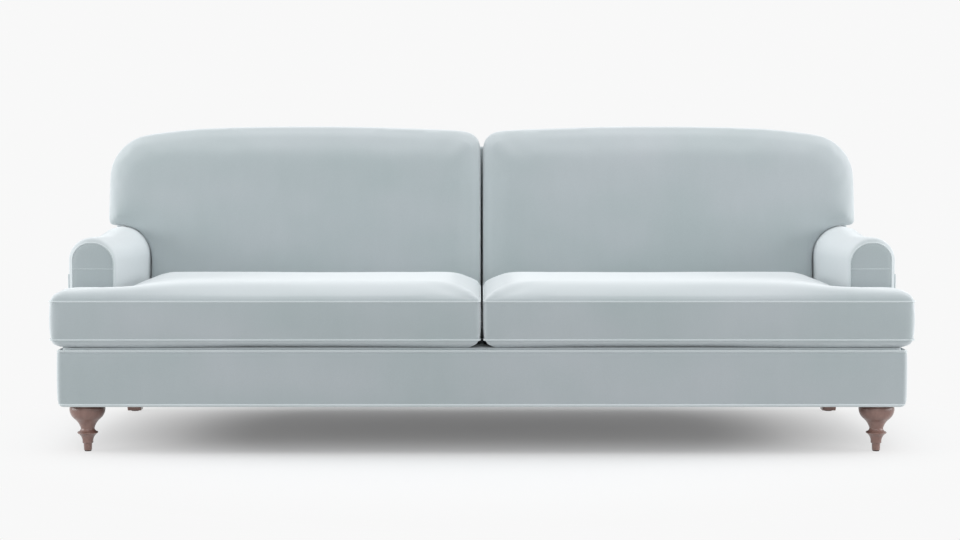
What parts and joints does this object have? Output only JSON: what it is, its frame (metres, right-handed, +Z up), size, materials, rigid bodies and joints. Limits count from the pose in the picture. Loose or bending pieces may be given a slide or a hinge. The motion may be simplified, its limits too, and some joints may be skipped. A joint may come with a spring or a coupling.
{
  "type": "roll arm sofa",
  "caption": "Low roll arm sofa with loose boxed seat and back cushions that wrap the arms and lift off, on turned front legs and plain square rear legs.",
  "frame": {"origin": "on the floor, under the middle of the whole sofa", "axes": "+X to the right as seen from the front, +Y to the back, +Z up"},
  "size_m": [2.282, 0.965, 0.879],
  "materials": {
    "velvet": "pale blue-grey velvet, short pile with bright rims",
    "platform_cloth": "plain woven lining cloth, matt",
    "dust_cloth": "black non-woven cloth, matt",
    "hardwood": "sawn kiln-dried hardwood, unfinished",
    "stained_wood": "red-brown stain under satin lacquer",
    "card": "grey-brown upholstery board, matt",
    "webbing": "elastic woven webbing, matt",
    "felt": "needled insulator felt, matt",
    "foam": "upholstery foam in a fibre wrap",
    "steel": "zinc-plated steel",
    "glide_plastic": "dark nylon",
    "zip_tape": "woven zip tape, matt",
    "zip_metal": "antique brass"
  },
  "bodies": {
    "frame": {"front_border": "velvet", "inside_back": "velvet", "outside_back": "velvet", "arm_pad_left": "velvet", "arm_pad_right": "velvet", "arm_facing_left": "velvet", "arm_facing_right": "velvet", "outside_arm_left": "velvet", "outside_arm_right": "velvet", "deck_cover": "platform_cloth", "dust_cover": "dust_cloth", "front_rail": "hardwood", "back_rail": "hardwood", "cross_rails": "hardwood", "front_leg_blocks": "hardwood", "rear_leg_blocks": "hardwood", "arm_posts": "hardwood", "back_post_centre": "hardwood", "back_top_rail": "hardwood", "back_lower_rails": "hardwood", "side_rail_left": "hardwood", "side_rail_right": "hardwood", "arm_front_board_left": "hardwood", "arm_front_board_right": "hardwood", "arm_top_board_left": "hardwood", "arm_top_board_right": "hardwood", "arm_lower_rail_left": "hardwood", "arm_lower_rail_right": "hardwood", "back_post_left": "hardwood", "back_post_right": "hardwood", "front_leg_left": "stained_wood", "front_leg_right": "stained_wood", "rear_leg_left": "stained_wood", "rear_leg_right": "stained_wood", "arm_lining_left": "card", "arm_lining_right": "card", "seat_webbing": "webbing", "back_webbing": "webbing", "deck_felt": "felt", "deck_pad": "foam", "leg_bolts": "steel", "leg_nuts": "steel", "glides": "glide_plastic"},
    "seat_cushion_left": {"seat_cover_left": "velvet", "seat_core_left": "foam", "seat_zip_left": "zip_tape"},
    "seat_zip_slider_left": {"seat_zip_slider_left": "zip_metal"},
    "back_cushion_left": {"back_cover_left": "velvet", "back_core_left": "foam", "back_zip_left": "zip_tape"},
    "back_zip_slider_left": {"back_zip_slider_left": "zip_metal"},
    "seat_cushion_right": {"seat_cover_right": "velvet", "seat_core_right": "foam", "seat_zip_right": "zip_tape"},
    "seat_zip_slider_right": {"seat_zip_slider_right": "zip_metal"},
    "back_cushion_right": {"back_cover_right": "velvet", "back_core_right": "foam", "back_zip_right": "zip_tape"},
    "back_zip_slider_right": {"back_zip_slider_right": "zip_metal"}
  },
  "joints": [
    {"name": "seat_cushion_left_lift", "type": "slide", "parent": "frame", "child": "seat_cushion_left", "axis": [0, 0, 1], "range_m": [0, 0.6]},
    {"name": "seat_zip_left_slide", "type": "slide", "parent": "seat_cushion_left", "child": "seat_zip_slider_left", "axis": [-1, 0, 0], "range_m": [0, 0.62]},
    {"name": "back_cushion_left_lift", "type": "slide", "parent": "frame", "child": "back_cushion_left", "axis": [0, 0, 1], "range_m": [0, 0.6]},
    {"name": "back_zip_left_slide", "type": "slide", "parent": "back_cushion_left", "child": "back_zip_slider_left", "axis": [-1, 0, 0], "range_m": [0, 0.62]},
    {"name": "seat_cushion_right_lift", "type": "slide", "parent": "frame", "child": "seat_cushion_right", "axis": [0, 0, 1], "range_m": [0, 0.6]},
    {"name": "seat_zip_right_slide", "type": "slide", "parent": "seat_cushion_right", "child": "seat_zip_slider_right", "axis": [1, 0, 0], "range_m": [0, 0.62]},
    {"name": "back_cushion_right_lift", "type": "slide", "parent": "frame", "child": "back_cushion_right", "axis": [0, 0, 1], "range_m": [0, 0.6]},
    {"name": "back_zip_right_slide", "type": "slide", "parent": "back_cushion_right", "child": "back_zip_slider_right", "axis": [1, 0, 0], "range_m": [0, 0.62]}
  ]
}
